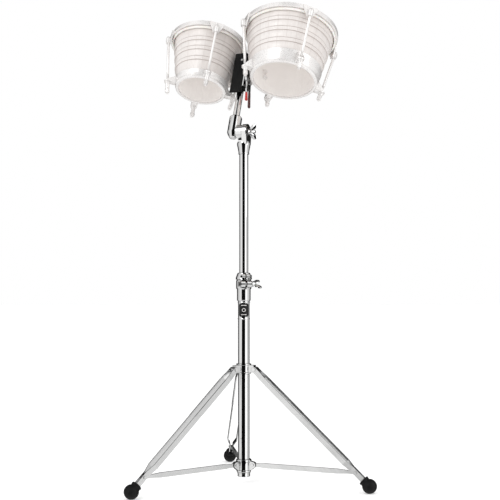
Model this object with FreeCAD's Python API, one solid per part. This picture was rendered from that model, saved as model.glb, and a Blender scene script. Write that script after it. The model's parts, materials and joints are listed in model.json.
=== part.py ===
import FreeCAD, Part
import math
import os

from FreeCAD import Placement, Rotation, Vector

# A pair of bongo drums on a folding chrome tripod stand with a tilting head.
# Millimetres and degrees. +Z is up. -Y is the front, which faces the listeners.
# The origin is the middle of the column's lower end face.

# ---- tripod -----------------------------------------------------------------
FLOOR_Z = -17.2
LEG_AZIMUTHS = {"right": -23.1, "left": -143.1, "rear": 96.9}
LEG_SPREAD = 47.62
LEG_PIVOT = (30.0, 264.4)
RAIL_HEIGHT = 12.8
RAIL_THICKNESS = 2.0
RAIL_LENGTH = 389.0
RAIL_GAP_HUB, RAIL_GAP_WIDE, RAIL_GAP_FOOT = 9.0, 12.0, 4.2
BRACE_JOINT_AT = 348.0
BRACE_PIVOT = (25.0, 30.0)
BRACE_HALF_WIDTH = 2.5
BRACE_HALF_HEIGHT = 5.8
FOOT_CENTRE_AT = 392.8
FOOT_RADIUS = 17.5
FOOT_NECK_RADIUS = 12.0
FOOT_NECK_AT = 380.0
FOOT_BALL_AT = 385.0

# ---- column -----------------------------------------------------------------
LOWER_TUBE_RADIUS = 14.3
LOWER_TUBE_WALL = 1.5
LOWER_TUBE_TOP = 470.0
UPPER_TUBE_RADIUS = 11.1
UPPER_TUBE_WALL = 1.4
UPPER_TUBE_BOTTOM = 130.0
UPPER_TUBE_TOP = 823.0
CLAMP_AZIMUTH = -77.0
CLAMP_BOLT = (22.0, 474.0)
BADGE_Z = (393.5, 427.0)
RUNNING = 0.05

# ---- head -------------------------------------------------------------------
HINGE_Z = 848.0
HEAD_YAW = 21.0
HEAD_TILT = 23.0
HEAD_SWIVEL = 4.0
ROD_OFFSET = -27.5
ROD_RADIUS = 8.5
BARREL_RADIUS = 15.8
BARREL_TOP = 44.0
EAR_RADIUS = 18.4
BRACKET_HALF_WIDTH = 16.5
BRACKET_Z = (103.0, 217.0)
BRACKET_Y = (-27.5, 8.0)
SHEET = 3.0
BASE_PLATE_Z = 126.0
TONGUE_Z = (134.0, 200.0)
KNOB_Z = 181.0
LEVER_Z = 143.0
LEVER_Y = {"front": -19.0, "rear": -1.0}
LEVER_SLANT = 15.0
GRIP_SPAN = {"front": (-52.0, -35.0), "rear": (-62.0, -27.0)}

# ---- drums ------------------------------------------------------------------
DRUM_BASE_Z = 123.5
DRUM_LINE_Y = -20.0
SHELL_TOP = 137.0
RIM_TOP = SHELL_TOP + 7.0
ROD_RISE = SHELL_TOP - 12.0
SHELL_WALL = 8.0
SKIRT_WALL = 2.2
ROD_COUNT = 4
TENSION_ROD_RADIUS = 3.2
BOLT_HEIGHTS = (45.0, 63.0)
DRUMS = {
    "macho": {"x": -104.0, "ring": 65.5, "skirt": 21.0, "rim": 98.7,
              "beads": (50.0, 77.0, 102.0), "rod_low": 86.0, "rod_top": 104.5, "rod_foot": -34.0,
              "first_rod": 38.0, "block_at": 36.0},
    "hembra": {"x": 125.0, "ring": 84.0, "skirt": 33.0, "rim": 119.2,
               "beads": (55.0, 83.0, 109.0), "rod_low": 102.0, "rod_top": 125.7, "rod_foot": -24.0,
               "first_rod": 45.0, "block_at": 152.0},
}

UP = Vector(0, 0, 1)
ORIGIN = Vector(0, 0, 0)
X_AXIS = Vector(1, 0, 0)
Y_AXIS = Vector(0, 1, 0)
BIG = 400.0


# ---- small builders ---------------------------------------------------------
def rod_between(radius, start, end):
    start, end = Vector(*start), Vector(*end)
    return Part.makeCylinder(radius, (end - start).Length, start, end - start)


def slab(x0, x1, y0, y1, z0, z1):
    return Part.makeBox(x1 - x0, y1 - y0, z1 - z0, Vector(x0, y0, z0))


def lathe(profile):
    """Turn a closed list of (radius, z) points about Z."""
    points = [Vector(r, 0, z) for r, z in profile]
    return Part.Face(Part.makePolygon(points + points[:1])).revolve(ORIGIN, UP, 360)


def side_plate(outline, y0, y1):
    """Push a closed (x, z) outline from y0 to y1."""
    points = [Vector(x, y0, z) for x, z in outline]
    return Part.Face(Part.makePolygon(points + points[:1])).extrude(Vector(0, y1 - y0, 0))


def join(*shapes):
    return shapes[0].fuse(list(shapes[1:])).removeSplitter()


def mirrored_y(shape):
    return shape.mirror(ORIGIN, Y_AXIS)


def placed(shape, placement):
    moved = shape.copy()
    moved.transformShape(placement.toMatrix())
    return moved


def about_z(angle, shift=ORIGIN):
    return Placement(shift, Rotation(UP, angle))


def hexagon(across_flats, z0, z1):
    radius = across_flats / math.sqrt(3)
    corners = [Vector(radius * math.cos(k * math.pi / 3), radius * math.sin(k * math.pi / 3), z0)
               for k in range(6)]
    return Part.Face(Part.makePolygon(corners + corners[:1])).extrude(Vector(0, 0, z1 - z0))


def wing_nut(bore, hub_radius, hub_length, span, reach):
    """A wing nut on +Z: base at z = 0, two rounded wings leaning out to z = reach."""
    thick = 4.4
    tip = span - 6.5
    hub = lathe([(0, 0), (hub_radius, 0), (hub_radius, 2), (hub_radius - 1.2, hub_length), (0, hub_length)])
    wing = side_plate([(hub_radius - 3, 2), (tip + 4, reach - 12), (tip - 5, reach - 2),
                       (hub_radius - 3, hub_length - 1)], -thick / 2, thick / 2)
    lobe = rod_between(6.5, (tip, -thick / 2, reach - 6.5), (tip, thick / 2, reach - 6.5))
    wing = join(wing, lobe)
    body = join(hub, wing, wing.mirror(ORIGIN, X_AXIS))
    return body.cut(rod_between(bore, (0, 0, -1), (0, 0, reach + 1)))


# ---- tripod -----------------------------------------------------------------
def leg_frame():
    """Local x runs down the leg from its pivot, y across the rails, z out of the leg's back."""
    return Placement(Vector(LEG_PIVOT[0], 0, LEG_PIVOT[1]), Rotation(Y_AXIS, 90 - LEG_SPREAD))


def brace_geometry():
    """Length of a brace between its pivots and its slope below the horizontal."""
    angle = math.radians(LEG_SPREAD)
    joint_x = LEG_PIVOT[0] + BRACE_JOINT_AT * math.sin(angle)
    joint_z = LEG_PIVOT[1] - BRACE_JOINT_AT * math.cos(angle)
    dx, dz = joint_x - BRACE_PIVOT[0], joint_z - BRACE_PIVOT[1]
    return math.hypot(dx, dz), math.degrees(math.atan2(-dz, dx))


def leg_rail():
    """One strip: close to the hub, wide along the leg, pinched together above the foot."""
    half = RAIL_THICKNESS / 2
    height = RAIL_HEIGHT / 2
    centre = [(-height, RAIL_GAP_HUB), (14, RAIL_GAP_HUB), (30, RAIL_GAP_WIDE), (314, RAIL_GAP_WIDE),
              (336, RAIL_GAP_FOOT), (RAIL_LENGTH, RAIL_GAP_FOOT)]
    outline = [(x, y - half) for x, y in centre] + [(x, y + half) for x, y in reversed(centre)]
    points = [Vector(x, y, -height) for x, y in outline]
    strip = Part.Face(Part.makePolygon(points + points[:1])).extrude(Vector(0, 0, RAIL_HEIGHT))
    rounded_end = join(slab(0, BIG, 0, BIG, -height, height), rod_between(height, (0, 0, 0), (0, BIG, 0)))
    strip = strip.common(rounded_end)
    stiffener = side_plate([(38, -height), (146, -height), (160, height), (38, height)],
                           RAIL_GAP_WIDE + half - 0.2, RAIL_GAP_WIDE + half + 0.8)
    rail = join(strip, stiffener)
    rail = rail.cut(rod_between(2.5 + RUNNING, (0, 0, 0), (0, BIG, 0)))
    return rail.cut(rod_between(2.52, (BRACE_JOINT_AT, 0, 0), (BRACE_JOINT_AT, BIG, 0)))


def leg_rivet():
    inner, outer = RAIL_GAP_FOOT - RAIL_THICKNESS / 2, RAIL_GAP_FOOT + RAIL_THICKNESS / 2
    shank = rod_between(2.5, (BRACE_JOINT_AT, inner, 0), (BRACE_JOINT_AT, outer + 0.5, 0))
    head = rod_between(4.2, (BRACE_JOINT_AT, outer + RUNNING, 0), (BRACE_JOINT_AT, outer + 1.1, 0))
    dome = rod_between(2.9, (BRACE_JOINT_AT, outer + 1.0, 0), (BRACE_JOINT_AT, outer + 1.7, 0))
    return join(shank, head, dome)


def rubber_foot(frame):
    """Rubber boot: a neck over the rails' ends, then a ball with a flat sole on the floor."""
    neck = rod_between(FOOT_NECK_RADIUS, (FOOT_NECK_AT, 0, 0), (FOOT_CENTRE_AT, 0, 0))
    ball = Part.makeSphere(FOOT_RADIUS, Vector(FOOT_CENTRE_AT, 0, 0), X_AXIS)
    ball = ball.common(slab(FOOT_BALL_AT, 2 * BIG, -BIG, BIG, -BIG, BIG))
    boot = join(neck, ball)
    pocket_y = RAIL_GAP_FOOT + RAIL_THICKNESS / 2 + RUNNING
    pocket_z = RAIL_HEIGHT / 2 + RUNNING
    boot = boot.cut(slab(FOOT_NECK_AT - 1, RAIL_LENGTH + 0.5, -pocket_y, pocket_y, -pocket_z, pocket_z))
    boot = placed(boot, frame)
    return boot.cut(slab(-BIG, 2 * BIG, -BIG, BIG, FLOOR_Z - BIG, FLOOR_Z))


def legs():
    frame = leg_frame()
    rail, rivet, foot = leg_rail(), leg_rivet(), rubber_foot(frame)
    nodes = {}
    for name, azimuth in LEG_AZIMUTHS.items():
        turn = about_z(azimuth)
        pair = [placed(placed(s, frame), turn) for s in (rail, mirrored_y(rail))]
        rivets = [placed(placed(s, frame), turn) for s in (rivet, mirrored_y(rivet))]
        nodes["leg_%s_rails" % name] = pair
        nodes["leg_%s_rivets" % name] = rivets
        nodes["foot_%s" % name] = [placed(foot, turn)]
    return nodes


def brace():
    """Channel-section strut, lower at both eyes than along its middle."""
    length, slope = brace_geometry()
    full, eye, tip = BRACE_HALF_HEIGHT, 4.5, 4.0
    upper = [(0, eye), (18, eye), (30, full), (length - 45, full), (length - 22, tip), (length, tip)]
    outline = upper + [(x, -z) for x, z in reversed(upper)]
    width = BRACE_HALF_WIDTH
    bar = side_plate(outline, -width, width)
    bar = join(bar, rod_between(eye, (0, -width, 0), (0, width, 0)),
               rod_between(tip, (length, -width, 0), (length, width, 0)))
    bar = bar.cut(slab(36, length - 50, -1.0, 1.0, -full - 1, full - 2))
    bar = bar.cut(rod_between(2.0 + RUNNING, (0, -BIG, 0), (0, BIG, 0)))
    bar = bar.cut(rod_between(2.6, (length, -BIG, 0), (length, BIG, 0)))
    return placed(bar, Placement(Vector(BRACE_PIVOT[0], 0, BRACE_PIVOT[1]), Rotation(Y_AXIS, slope)))


def braces():
    bar = brace()
    return {"brace_%s" % name: [placed(bar, about_z(azimuth))] for name, azimuth in LEG_AZIMUTHS.items()}


def pivot_rivet(radius, head_radius, half_length, x, z):
    shank = rod_between(radius, (x, -half_length - 0.5, z), (x, half_length + 0.5, z))
    near = rod_between(head_radius, (x, half_length + RUNNING, z), (x, half_length + 1.3, z))
    return join(shank, near, mirrored_y(near))


def leg_hub():
    """Pressed collar fixed on the lower tube, with a block for each leg's two rails."""
    z0, z1 = 254.0, 278.0
    inner = LOWER_TUBE_RADIUS + 0.03
    hub = lathe([(inner, z0), (18.4, z0), (18.4, z0 + 2.5), (17.4, z0 + 3.5), (17.4, z1 - 3.5),
                 (18.4, z1 - 2.5), (18.4, z1), (inner, z1)])
    half = RAIL_GAP_HUB - RAIL_THICKNESS / 2 - 0.1
    x, z = LEG_PIVOT
    lug = join(slab(12, 29, -half, half, z0 + 3, z1 - 3), rod_between(6.0, (x, -half, z), (x, half, z)))
    lug = lug.cut(Part.makeCylinder(inner, BIG, Vector(0, 0, z0 - BIG / 2), UP))
    bore = rod_between(2.52, (x, -BIG, z), (x, BIG, z))
    lugs = [placed(lug.cut(bore), about_z(a)) for a in LEG_AZIMUTHS.values()]
    pin = pivot_rivet(2.5, 4.4, RAIL_GAP_HUB + RAIL_THICKNESS / 2, x, z)
    pins = [placed(pin, about_z(a)) for a in LEG_AZIMUTHS.values()]
    return {"leg_hub": [join(hub, *lugs)], "leg_pivot_pins": pins}


def brace_hub():
    """Collar that slides on the lower tube and carries the braces in three forks."""
    z0, z1 = 12.0, 43.0
    inner = LOWER_TUBE_RADIUS + RUNNING
    collar = lathe([(inner, z0), (17.6, z0), (18.2, z0 + 1), (18.2, z0 + 4), (17.2, z0 + 5),
                    (17.2, z1 - 6), (19.0, z1 - 5), (19.0, z1 - 1), (18.2, z1), (inner, z1)])
    x, z = BRACE_PIVOT
    gap, outer = BRACE_HALF_WIDTH + 0.1, 5.3
    ear = side_plate([(15, z - 14), (20, z - 13), (x + 3, z - 7), (x + 3, z + 7), (20, z + 9), (15, z + 10)],
                     gap, outer)
    ear = join(ear, rod_between(7.6, (x, gap, z), (x, outer, z)))
    ear = ear.cut(rod_between(2.02, (x, -BIG, z), (x, BIG, z)))
    ear = ear.cut(Part.makeCylinder(inner, BIG, Vector(0, 0, z0 - BIG / 2), UP))
    forks = [placed(s, about_z(a)) for a in LEG_AZIMUTHS.values() for s in (ear, mirrored_y(ear))]
    bolt_z = 37.0
    boss = rod_between(5.4, (16, 0, bolt_z), (20.6, 0, bolt_z))
    boss = boss.cut(Part.makeCylinder(inner, BIG, Vector(0, 0, -BIG / 2), UP))
    tapped = rod_between(2.55, (10, 0, bolt_z), (BIG, 0, bolt_z))
    facing = about_z(-90)
    hub = join(collar, placed(boss, facing), *forks).cut(placed(tapped, facing))
    bolt = join(rod_between(2.5, (14.5, 0, bolt_z), (21, 0, bolt_z)),
                rod_between(4.6, (20.65, 0, bolt_z), (23.4, 0, bolt_z)),
                rod_between(3.6, (23.2, 0, bolt_z), (24.0, 0, bolt_z)))
    pin = pivot_rivet(2.0, 3.4, outer, x, z)
    return {"brace_hub": [hub], "brace_hub_bolt": [placed(bolt, facing)],
            "brace_pivot_pins": [placed(pin, about_z(a)) for a in LEG_AZIMUTHS.values()]}


# ---- column -----------------------------------------------------------------
def lower_column():
    radius = LOWER_TUBE_RADIUS
    tube = lathe([(radius - LOWER_TUBE_WALL, 3), (radius, 3), (radius, LOWER_TUBE_TOP),
                  (radius - LOWER_TUBE_WALL, LOWER_TUBE_TOP)])
    for side in (-119.0, -53.0):
        a = math.radians(side)
        tube = tube.cut(Part.makeSphere(2.2, Vector(15.7 * math.cos(a), 15.7 * math.sin(a), 94)))
    cap = lathe([(0, 0), (13.6, 0), (15.4, 1.4), (15.4, 8.2), (16.2, 8.8), (16.2, 11), (radius + 0.03, 11),
                 (radius + 0.03, 3), (0, 3)])
    rings = [lathe([(radius + 0.02, z), (15.0, z + 0.3), (15.3, z + 1.2), (15.0, z + 2.1),
                    (radius + 0.02, z + 2.4)]) for z in (BADGE_Z[0] - 6.0, BADGE_Z[1] + 1.4)]
    z0, z1 = BADGE_Z
    shell = lathe([(radius + 0.02, z0), (15.1, z0), (15.1, z1), (radius + 0.02, z1)])
    badge = shell.common(rounded_window(11.6, z0, z1, 5.0))
    return {"lower_tube": [tube], "tube_end_cap": [cap], "trim_rings": rings, "badge_plate": [badge]}


def rounded_window(half_width, z0, z1, corner):
    """A prism with rounded corners that cuts a badge out of a sleeve on the front side."""
    core = slab(-half_width, half_width, -BIG, 0, z0 + corner, z1 - corner)
    wide = slab(-half_width + corner, half_width - corner, -BIG, 0, z0, z1)
    rounds = [rod_between(corner, (sx * (half_width - corner), -BIG, z), (sx * (half_width - corner), 0, z))
              for sx in (-1, 1) for z in (z0 + corner, z1 - corner)]
    return join(core, wide, *rounds)


def height_clamp():
    inner = LOWER_TUBE_RADIUS + 0.05
    body = lathe([(inner, 433), (16.2, 433), (16.9, 434.5), (16.9, 461), (18.0, 462), (19.0, 464),
                  (19.0, 482), (17.5, 485), (inner, 485)])
    x, z = CLAMP_BOLT
    ear = join(slab(13, x, 1, 13, z - 8, z + 8), rod_between(8.0, (x, 1, z), (x, 13, z)))
    ear = ear.cut(Part.makeCylinder(inner, BIG, Vector(0, 0, z - BIG / 2), UP))
    body = join(body, ear, mirrored_y(ear))
    body = body.cut(slab(8, BIG, -2.5, 2.5, 461, 490))
    body = body.cut(rod_between(4.0 + RUNNING, (x, -BIG, z), (x, BIG, z)))
    bushing = lathe([(UPPER_TUBE_RADIUS + RUNNING, 430), (12.75, 430), (12.75, 470.05), (14.3, 470.05),
                     (14.3, 484.5), (UPPER_TUBE_RADIUS + RUNNING, 484.5)])
    bolt = join(rod_between(4.0, (x, -14, z), (x, 26, z)),
                slab(x - 6.2, x + 6.2, -17.5, -13.05, z - 6.2, z + 6.2).common(
                    rod_between(7.6, (x, -18, z), (x, -13, z))))
    nut = placed(wing_nut(4.0 + RUNNING, 7.4, 9.5, 17.5, 25.0),
                 Placement(Vector(x, 13.1, z), Rotation(X_AXIS, -90)))
    facing = about_z(CLAMP_AZIMUTH)
    spun = Placement(Vector(x, 0, z), Rotation(Y_AXIS, 35)).multiply(
        Placement(Vector(-x, 0, -z), Rotation()))
    return {"height_clamp": [placed(body, facing)], "clamp_bushing": [bushing],
            "clamp_bolt": [placed(bolt, facing)], "clamp_wing_nut": [placed(placed(nut, spun), facing)]}


def memory_lock():
    inner = UPPER_TUBE_RADIUS + RUNNING
    z0 = 485.3
    collar = lathe([(inner, z0), (19.4, z0), (20.2, z0 + 2), (19.0, z0 + 7), (15.8, z0 + 15),
                    (14.6, z0 + 16.5), (inner, z0 + 16.5)])
    bolt_x, bolt_z = 18.6, z0 + 8
    ear = join(slab(11, bolt_x, 0.5, 9.5, bolt_z - 5.5, bolt_z + 5.5),
               rod_between(5.5, (bolt_x, 0.5, bolt_z), (bolt_x, 9.5, bolt_z)))
    ear = ear.cut(Part.makeCylinder(inner, BIG, Vector(0, 0, bolt_z - BIG / 2), UP))
    collar = join(collar, ear, mirrored_y(ear)).cut(slab(6, BIG, -1.5, 1.5, z0 - 1, z0 + 20))
    collar = collar.cut(rod_between(2.55, (bolt_x, -BIG, bolt_z), (bolt_x, BIG, bolt_z)))
    head_gap = [rod_between(4.6, (bolt_x, s * 9.5, bolt_z), (bolt_x, s * 40, bolt_z)) for s in (-1, 1)]
    collar = collar.cut(head_gap[0]).cut(head_gap[1])
    bolt = join(rod_between(2.5, (bolt_x, -9.2, bolt_z), (bolt_x, 10, bolt_z)),
                slab(bolt_x - 3, bolt_x + 3, 9.6, 15.5, bolt_z - 3, bolt_z + 3))
    facing = about_z(CLAMP_AZIMUTH)
    return {"memory_lock": [placed(collar, facing)], "memory_lock_bolt": [placed(bolt, facing)]}


def upper_column():
    radius, bottom = UPPER_TUBE_RADIUS, UPPER_TUBE_BOTTOM + RUNNING
    bore = radius - UPPER_TUBE_WALL
    tube = lathe([(bore, bottom), (radius, bottom), (radius, UPPER_TUBE_TOP), (bore, UPPER_TUBE_TOP)])
    glide = lathe([(0, 124), (12.0, 124), (12.74, 125), (12.74, 150), (radius + RUNNING, 150),
                   (radius + RUNNING, UPPER_TUBE_BOTTOM), (0, UPPER_TUBE_BOTTOM)])
    return {"upper_tube": [tube], "lower_glide": [glide]}


# ---- tilter -----------------------------------------------------------------
def yaw_frame():
    """Origin on the tilter's hinge, local x along the hinge axis."""
    return about_z(-HEAD_YAW, Vector(0, 0, HINGE_Z))


def tilt_frame():
    return yaw_frame().multiply(Placement(ORIGIN, Rotation(X_AXIS, -HEAD_TILT)))


def head_frame():
    """Origin on the mounting rod's axis level with the hinge, local z up the rod."""
    return tilt_frame().multiply(about_z(-HEAD_SWIVEL, Vector(ROD_OFFSET, 0, 0)))


def tilter():
    top = UPPER_TUBE_TOP - HINGE_Z
    bore = UPPER_TUBE_RADIUS + 0.02
    socket = lathe([(bore, -54), (13.4, -54), (13.4, -52.6), (12.9, -51.5), (14.4, -42), (16.4, -33),
                    (16.8, -28), (15.2, -23.4), (0, -23.4), (0, top + RUNNING), (bore, top + RUNNING)])
    cheek = side_plate_x([(-15, -30), (15, -30), (18.8, -7), (-18.8, -7)], 0.6, 12.6)
    disc = rod_between(20.0, (0.6, 0, 0), (11.4, 0, 0))
    rim = rod_between(16.0, (11.0, 0, 0), (12.8, 0, 0))
    cheek = cheek.cut(Part.makeCylinder(bore, 60, Vector(0, 0, top - 60 + RUNNING), UP))
    lower = join(socket, cheek, disc, rim)
    lower = lower.cut(rod_between(4.0 + RUNNING, (-1, 0, 0), (BIG, 0, 0)))
    barrel = lathe([(0, -15), (5.5, -15), (8.5, -13.6), (BARREL_RADIUS - 1.4, -4), (BARREL_RADIUS, 0),
                    (BARREL_RADIUS, BARREL_TOP - 2), (BARREL_RADIUS - 1.2, BARREL_TOP),
                    (ROD_RADIUS + RUNNING, BARREL_TOP), (ROD_RADIUS + RUNNING, 3), (0, 3)])
    barrel = placed(barrel, about_z(0, Vector(ROD_OFFSET, 0, 0)))
    ear = rod_between(EAR_RADIUS, (-16, 0, 0), (-0.6, 0, 0))
    ear = ear.cut(rod_between(BARREL_RADIUS - 1.5, (ROD_OFFSET, 0, -BIG), (ROD_OFFSET, 0, BIG)))
    key_hole = rod_between(3.05, (ROD_OFFSET, 0, 27), (ROD_OFFSET, BIG, 27))
    upper = join(barrel, ear).cut(key_hole).cut(rod_between(4.02, (-9, 0, 0), (0, 0, 0)))
    bolt = rod_between(4.0, (-8.9, 0, 0), (30, 0, 0))
    washer = rod_between(15.0, (-0.5, 0, 0), (0.5, 0, 0)).cut(rod_between(4.3, (-1, 0, 0), (1, 0, 0)))
    key = join(rod_between(3.0, (ROD_OFFSET, 8.7, 27), (ROD_OFFSET, 20, 27)),
               slab(ROD_OFFSET - 3, ROD_OFFSET + 3, 18.5, 24.5, 24, 30))
    nut = wing_nut(4.0 + RUNNING, 7.0, 9.0, 18.5, 21.0)
    nut = placed(nut, Placement(Vector(13.1, 0, 0), Rotation(Y_AXIS, 90)))
    tilt = tilt_frame()
    return {"tilter_lower": [placed(lower, yaw_frame())], "tilter_upper": [placed(upper, tilt)],
            "tilter_washer": [placed(washer, tilt)], "tilter_bolt": [placed(bolt, tilt)],
            "tilter_wing_nut": [placed(nut, tilt)], "barrel_key_bolt": [placed(key, tilt)]}


def side_plate_x(outline, x0, x1):
    """Push a closed (y, z) outline from x0 to x1."""
    points = [Vector(x0, y, z) for y, z in outline]
    return Part.Face(Part.makePolygon(points + points[:1])).extrude(Vector(x1 - x0, 0, 0))


# ---- mount ------------------------------------------------------------------
def mount_bracket():
    """Folded sheet: front plate, two cheeks with a rising lower edge, and an inner base plate."""
    half, (y0, y1), (z0, z1) = BRACKET_HALF_WIDTH, BRACKET_Y, BRACKET_Z
    outer = slab(-half, half, y0, y1, z0, z1)
    front_edges = [e for e in outer.Edges if abs(e.CenterOfMass.y - y0) < 1e-6 and abs(e.CenterOfMass.z
                   - (z0 + z1) / 2) < 1e-6]
    outer = outer.makeFillet(2.5, front_edges)
    inner = half - SHEET
    sheet = outer.cut(slab(-inner, inner, y0 + SHEET, BIG, z0 - 1, z1 + 1))
    sheet = sheet.cut(side_plate_x([(y0 + SHEET, z0 - 1), (y1 + 1, z0 - 1), (y1 + 1, BASE_PLATE_Z),
                                    (y0 + SHEET, z0)], -BIG, BIG))
    sheet = sheet.cut(side_plate_x([(y1 - 7, z1), (y1, z1 - 9), (y1 + 1, z1 + 1)], -BIG, BIG))
    base = slab(-inner, inner, y0 + SHEET, y1, BASE_PLATE_Z, BASE_PLATE_Z + SHEET)
    base = base.cut(rod_between(5.02, (0, 0, 0), (0, 0, BIG)))
    sheet = join(sheet, base)
    sheet = sheet.cut(rod_between(4.0 + RUNNING, (0, 0, KNOB_Z), (BIG, 0, KNOB_Z)))
    for y in LEVER_Y.values():
        sheet = sheet.cut(rod_between(4.0 + RUNNING, (0, y, LEVER_Z), (BIG, y, LEVER_Z)))
    return sheet.cut(rod_between(1.6, (5, y0 - 1, 196), (5, y0 + 8, 196)))


def quick_lever(y, tip_z, grip_z):
    """Clamp shaft through the cheek with an arm that hangs beside it, and its dipped grip."""
    shaft = rod_between(4.0, (12.7, y, LEVER_Z), (22, y, LEVER_Z))
    boss = rod_between(7.2, (21.3, y, LEVER_Z), (25.8, y, LEVER_Z))
    cap = rod_between(4.6, (25.6, y, LEVER_Z), (27.4, y, LEVER_Z))
    arm = slab(21.3, 24.9, -3.2, 3.2, tip_z, 0)
    tip = rod_between(3.2, (21.3, 0, tip_z), (24.9, 0, tip_z))
    slanted = Placement(Vector(0, y, LEVER_Z), Rotation(X_AXIS, LEVER_SLANT))
    sleeve = join(slab(19.9, 26.3, -4.6, 4.6, tip_z, grip_z),
                  rod_between(4.6, (19.9, 0, tip_z), (26.3, 0, tip_z)))
    core = join(slab(21.25, 24.95, -3.25, 3.25, tip_z, grip_z + 10),
                rod_between(3.25, (21.25, 0, tip_z), (24.95, 0, tip_z)))
    lever = join(shaft, boss, cap, placed(join(arm, tip), slanted))
    return lever, placed(sleeve.cut(core), slanted)


def clamp_knob():
    """Knurled knob on a screw that presses on the drums' centre block."""
    screw = rod_between(4.0, (12.6, 0, KNOB_Z), (20, 0, KNOB_Z))
    grip = rod_between(10.6, (19.4, 0, KNOB_Z), (28.4, 0, KNOB_Z))
    flutes = 16
    for k in range(flutes):
        a = 2 * math.pi * k / flutes
        y, z = 11.4 * math.cos(a), KNOB_Z + 11.4 * math.sin(a)
        grip = grip.cut(rod_between(1.3, (18, y, z), (30, y, z)))
    face = rod_between(8.0, (28.2, 0, KNOB_Z), (29.2, 0, KNOB_Z))
    return join(screw, grip, face)


def mount():
    rod = join(rod_between(ROD_RADIUS, (0, 0, 3.5), (0, 0, BASE_PLATE_Z - 0.05)),
               rod_between(5.0, (0, 0, BASE_PLATE_Z - 1), (0, 0, BASE_PLATE_Z + SHEET + 0.5)),
               rod_between(7.5, (0, 0, BASE_PLATE_Z + SHEET + RUNNING), (0, 0, BASE_PLATE_Z + SHEET + 3)))
    inner = BRACKET_HALF_WIDTH - SHEET
    front = BRACKET_Y[0] + SHEET
    pads = [slab(-inner + 0.05, -inner + 0.95, front + 2, BRACKET_Y[1] - 1, *TONGUE_Z),
            slab(-9, 9, front + 0.05, front + 1.3, *TONGUE_Z)]
    y_low = LEVER_Y["front"] - 8
    plate = side_plate_x([(y_low, 119), (y_low, 155), (10, 155), (13, 150), (13, 136), (6, 124)], 16.55, 18.9)
    for y in LEVER_Y.values():
        plate = join(plate, rod_between(6.6, (18, y, LEVER_Z), (21.2, y, LEVER_Z)))
    for y in LEVER_Y.values():
        plate = plate.cut(rod_between(4.0 + RUNNING, (0, y, LEVER_Z), (BIG, y, LEVER_Z)))
    screw = join(rod_between(1.55, (5, BRACKET_Y[0] - 0.4, 196), (5, BRACKET_Y[0] + 2.8, 196)),
                 rod_between(2.6, (5, BRACKET_Y[0] - 1.1, 196), (5, BRACKET_Y[0] - 0.05, 196)))
    nodes = {"mount_rod": [rod], "mount_bracket": [mount_bracket()], "bracket_pads": pads,
             "bracket_screw": [screw], "lever_plate": [plate], "clamp_knob": [clamp_knob()]}
    for name, y in LEVER_Y.items():
        lever, grip = quick_lever(y, *GRIP_SPAN[name])
        nodes["%s_lever" % name] = [lever]
        nodes["%s_grip" % name] = [grip]
    return nodes


# ---- drums ------------------------------------------------------------------
def shell_radius(drum, z):
    """Outer radius of the bare shell at height z above the drum's lower face."""
    low, high = drum["ring"] - SKIRT_WALL - 0.1, drum["rim"] - 9.2
    t = (z - SKIRT_WALL) / (SHELL_TOP - SKIRT_WALL)
    return low + (high - low) * t + 3.2 * t * (1 - t)


def shell_profile(drum, grow):
    """Outer profile of the shell with its raised bands, grown outward by a gap."""
    bead, edge = 3.6, 0.9
    points = [(shell_radius(drum, SKIRT_WALL + 0.1) + grow, SKIRT_WALL + 0.1)]
    for z in drum["beads"]:
        for dz, out in ((-bead - edge, 0), (-bead, 1.2), (bead, 1.2), (bead + edge, 0)):
            points.append((shell_radius(drum, z + dz) + out + grow, z + dz))
    return points + [(shell_radius(drum, SHELL_TOP - 2) + grow, SHELL_TOP - 2),
                     (shell_radius(drum, SHELL_TOP) - 1.5 + grow, SHELL_TOP)]


def drum_shell(drum):
    outer = shell_profile(drum, 0)
    inner = [(shell_radius(drum, z) - SHELL_WALL, z) for z in (SHELL_TOP, 91.0, 46.0, SKIRT_WALL + 0.1)]
    shell = lathe(outer + inner)
    for hole in block_holes(drum):
        shell = shell.cut(hole)
    return shell


def block_holes(drum):
    a = math.radians(drum["block_at"])
    ends = (40 * math.cos(a), 40 * math.sin(a)), (125 * math.cos(a), 125 * math.sin(a))
    return [rod_between(3.0 + RUNNING, ends[0] + (z,), ends[1] + (z,)) for z in BOLT_HEIGHTS]


def block_bolt(drum, z):
    """Carriage bolt from inside the shell into the centre block."""
    inner = shell_radius(drum, z) - SHELL_WALL
    shank = rod_between(3.0, (inner - 4, 0, z), (inner + SHELL_WALL + 13, 0, z))
    head = rod_between(6.5, (inner - 4.6, 0, z), (inner - 2.2, 0, z))
    return placed(join(shank, head), about_z(drum["block_at"]))


def drum_head(drum):
    """Skin over the shell's edge, with the flesh hoop that it is tucked round."""
    r, top = shell_radius(drum, SHELL_TOP) + 0.3, SHELL_TOP
    return lathe([(0, top + 0.1), (r - 0.1, top + 0.1), (r - 0.1, top - 11.5), (r + 4.2, top - 11.5),
                  (r + 4.2, top - 5.1), (r + 1.4, top - 4.4), (r + 1.4, top + 0.4), (r + 0.2, top + 1.5),
                  (0, top + 1.5)])


def rod_frame(drum):
    """Local z runs up a tension rod from where it crosses the drum's lower face."""
    lean = math.degrees(math.atan2(drum["rod_top"] - drum["rod_low"], ROD_RISE))
    return Placement(Vector(drum["rod_low"], 0, 0), Rotation(Y_AXIS, lean))


def rod_length(drum):
    return math.hypot(drum["rod_top"] - drum["rod_low"], ROD_RISE)


def around(drum, shape):
    """Copies of a shape at the drum's four tension rods."""
    return [placed(shape, about_z(drum["first_rod"] + k * 360.0 / ROD_COUNT)) for k in range(ROD_COUNT)]


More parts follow.
